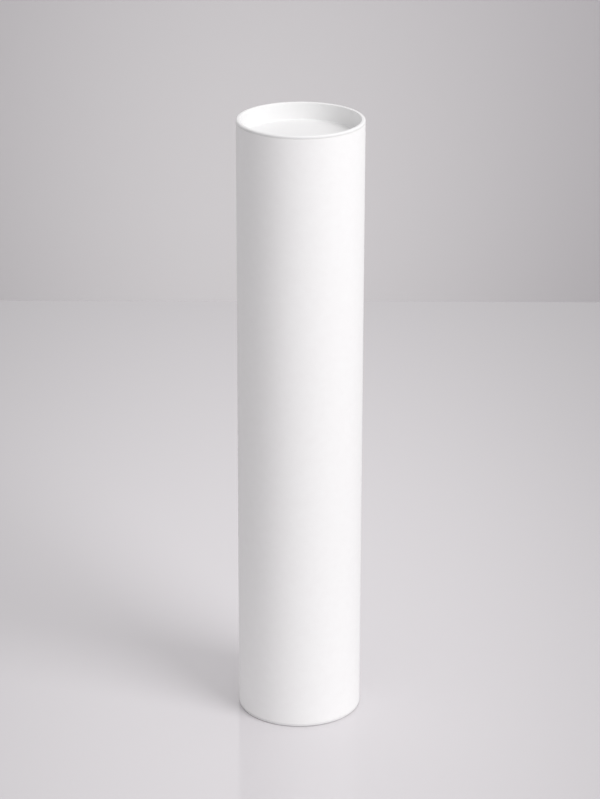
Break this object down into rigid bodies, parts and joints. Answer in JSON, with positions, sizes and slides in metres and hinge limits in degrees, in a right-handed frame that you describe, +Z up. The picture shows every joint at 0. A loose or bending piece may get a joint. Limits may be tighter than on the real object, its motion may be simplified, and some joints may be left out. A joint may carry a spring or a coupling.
{
  "type": "mailing tube",
  "caption": "Plain round card mailing tube that stands on end, closed at each end by a push-in plastic plug with a thin flange over the cut edge and a shallow recess.",
  "frame": {"origin": "centre of the bottom plug's outer face, on the surface the tube stands on", "axes": "+Z up along the tube's axis, towards the top plug; the part is round, so +X and +Y are any two directions square to it"},
  "size_m": [0.06, 0.06, 0.3],
  "materials": {
    "white_board": "spirally wound paper board with a smooth matt white outer ply",
    "white_plug": "satin white moulded polyethylene"
  },
  "bodies": {
    "bottom_plug": {"bottom_plug": "white_plug"},
    "tube": {"tube": "white_board"},
    "top_plug": {"top_plug": "white_plug"}
  },
  "joints": [
    {"name": "tube_lift", "type": "slide", "parent": "bottom_plug", "child": "tube", "axis": [0, 0, 1], "range_m": [0, 0.022]},
    {"name": "top_plug_pull", "type": "slide", "parent": "tube", "child": "top_plug", "axis": [0, 0, 1], "range_m": [0, 0.022]}
  ]
}
